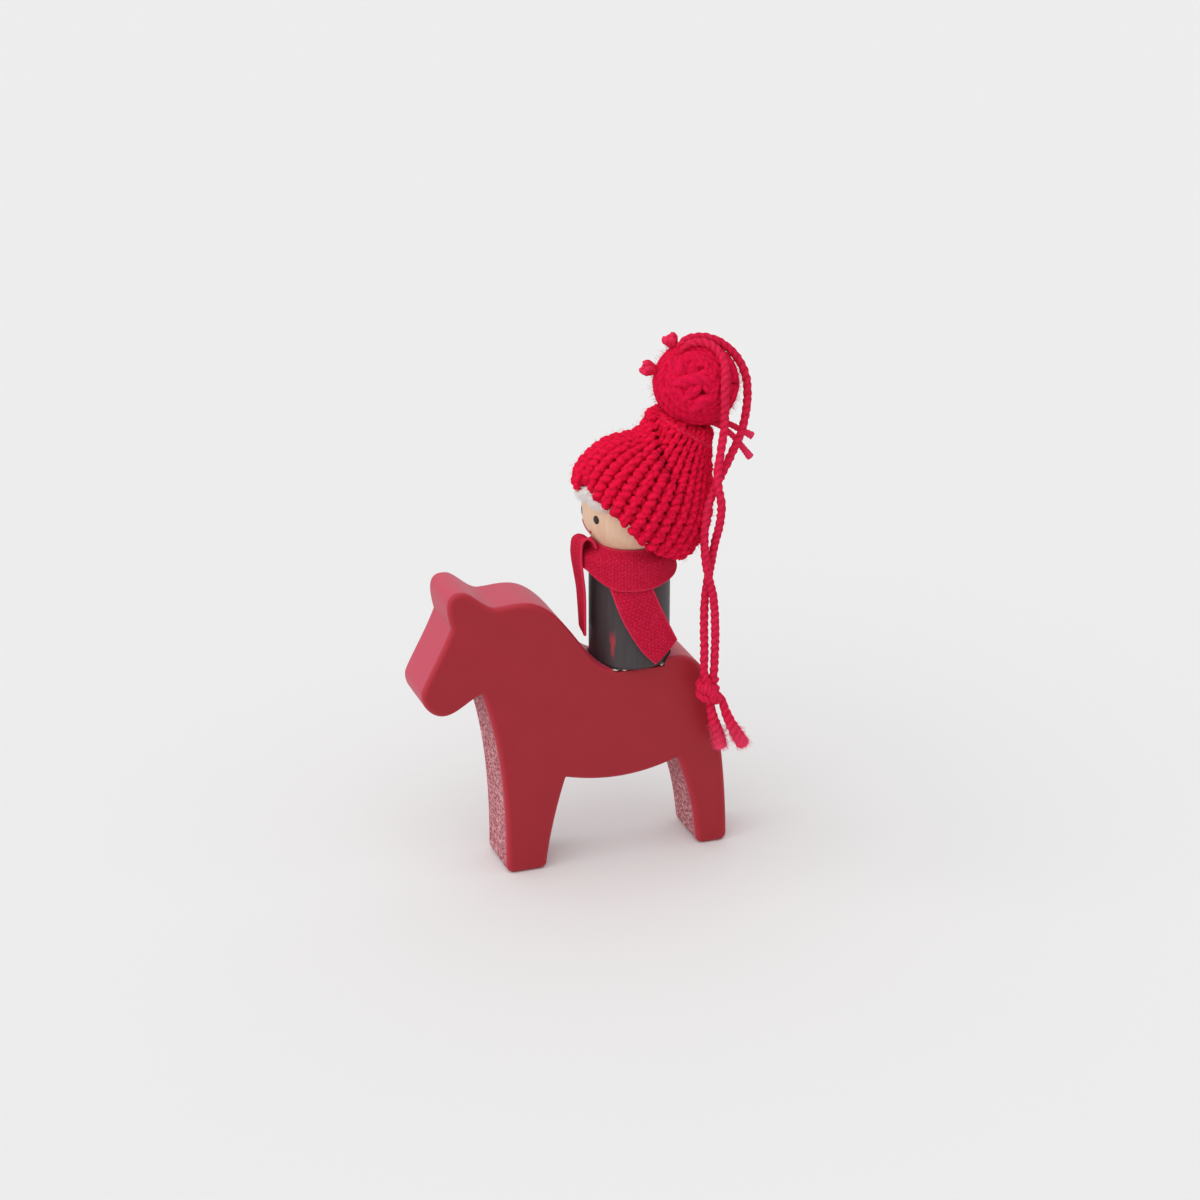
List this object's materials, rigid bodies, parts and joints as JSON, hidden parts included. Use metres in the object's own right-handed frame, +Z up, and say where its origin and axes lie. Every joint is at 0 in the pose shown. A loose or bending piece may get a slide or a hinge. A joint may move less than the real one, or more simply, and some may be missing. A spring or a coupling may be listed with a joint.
{
  "type": "wooden gnome on a horse",
  "caption": "Painted wooden gnome rider with a knitted cap and scarf, glued on a red horse sawn from board; stands on its feet or hangs from a yarn loop.",
  "frame": {"origin": "on the ground under the middle of the figure's box, leaving the hanging loop out", "axes": "+Z up, the horse looks along -X, +Y through the board from the shown side to the far side"},
  "size_m": [0.0809, 0.0334, 0.1221],
  "materials": {
    "horse_paint": "satin red paint",
    "glue": "clear dried wood glue",
    "peg_paint": "matt charcoal paint",
    "bare_wood": "bare birch",
    "fleece": "white fleece",
    "knit": "red knitted yarn",
    "yarn": "red twisted yarn",
    "tape": "red woven cotton tape"
  },
  "bodies": {
    "figure": {"horse_board": "horse_paint", "seat_glue": "glue", "rider_peg": "peg_paint", "neck_dowel": "bare_wood", "head_ball": "bare_wood", "hair_fringe": "fleece", "knit_cap": "knit", "cap_tie": "yarn", "pompom": "yarn", "yarn_end_1": "yarn", "yarn_end_2": "yarn", "yarn_end_3": "yarn", "yarn_end_4": "yarn", "yarn_end_5": "yarn", "scarf_wrap": "tape"},
    "front_tail": {"scarf_front_tail": "tape"},
    "side_tail": {"scarf_side_tail": "tape"},
    "hang_loop": {"hang_cord_a": "yarn", "hang_cord_b": "yarn", "hang_knot": "yarn", "knot_tail_a": "yarn", "knot_tail_b": "yarn"}
  },
  "joints": [
    {"name": "hang_loop_swing", "type": "hinge", "parent": "figure", "child": "hang_loop", "pos_m": [0.02387, 0, 0.12096], "axis": [0, -1, 0], "range_deg": [0, 160]},
    {"name": "scarf_front_tail_swing", "type": "hinge", "parent": "figure", "child": "front_tail", "pos_m": [-0.00077, 0.00067, 0.06657], "axis": [0.9659, -0.2588, 0], "range_deg": [0, 60]},
    {"name": "scarf_side_tail_lift", "type": "hinge", "parent": "figure", "child": "side_tail", "pos_m": [0.0081, -0.0103, 0.0646], "axis": [-1, 0, 0], "range_deg": [0, 60]}
  ]
}
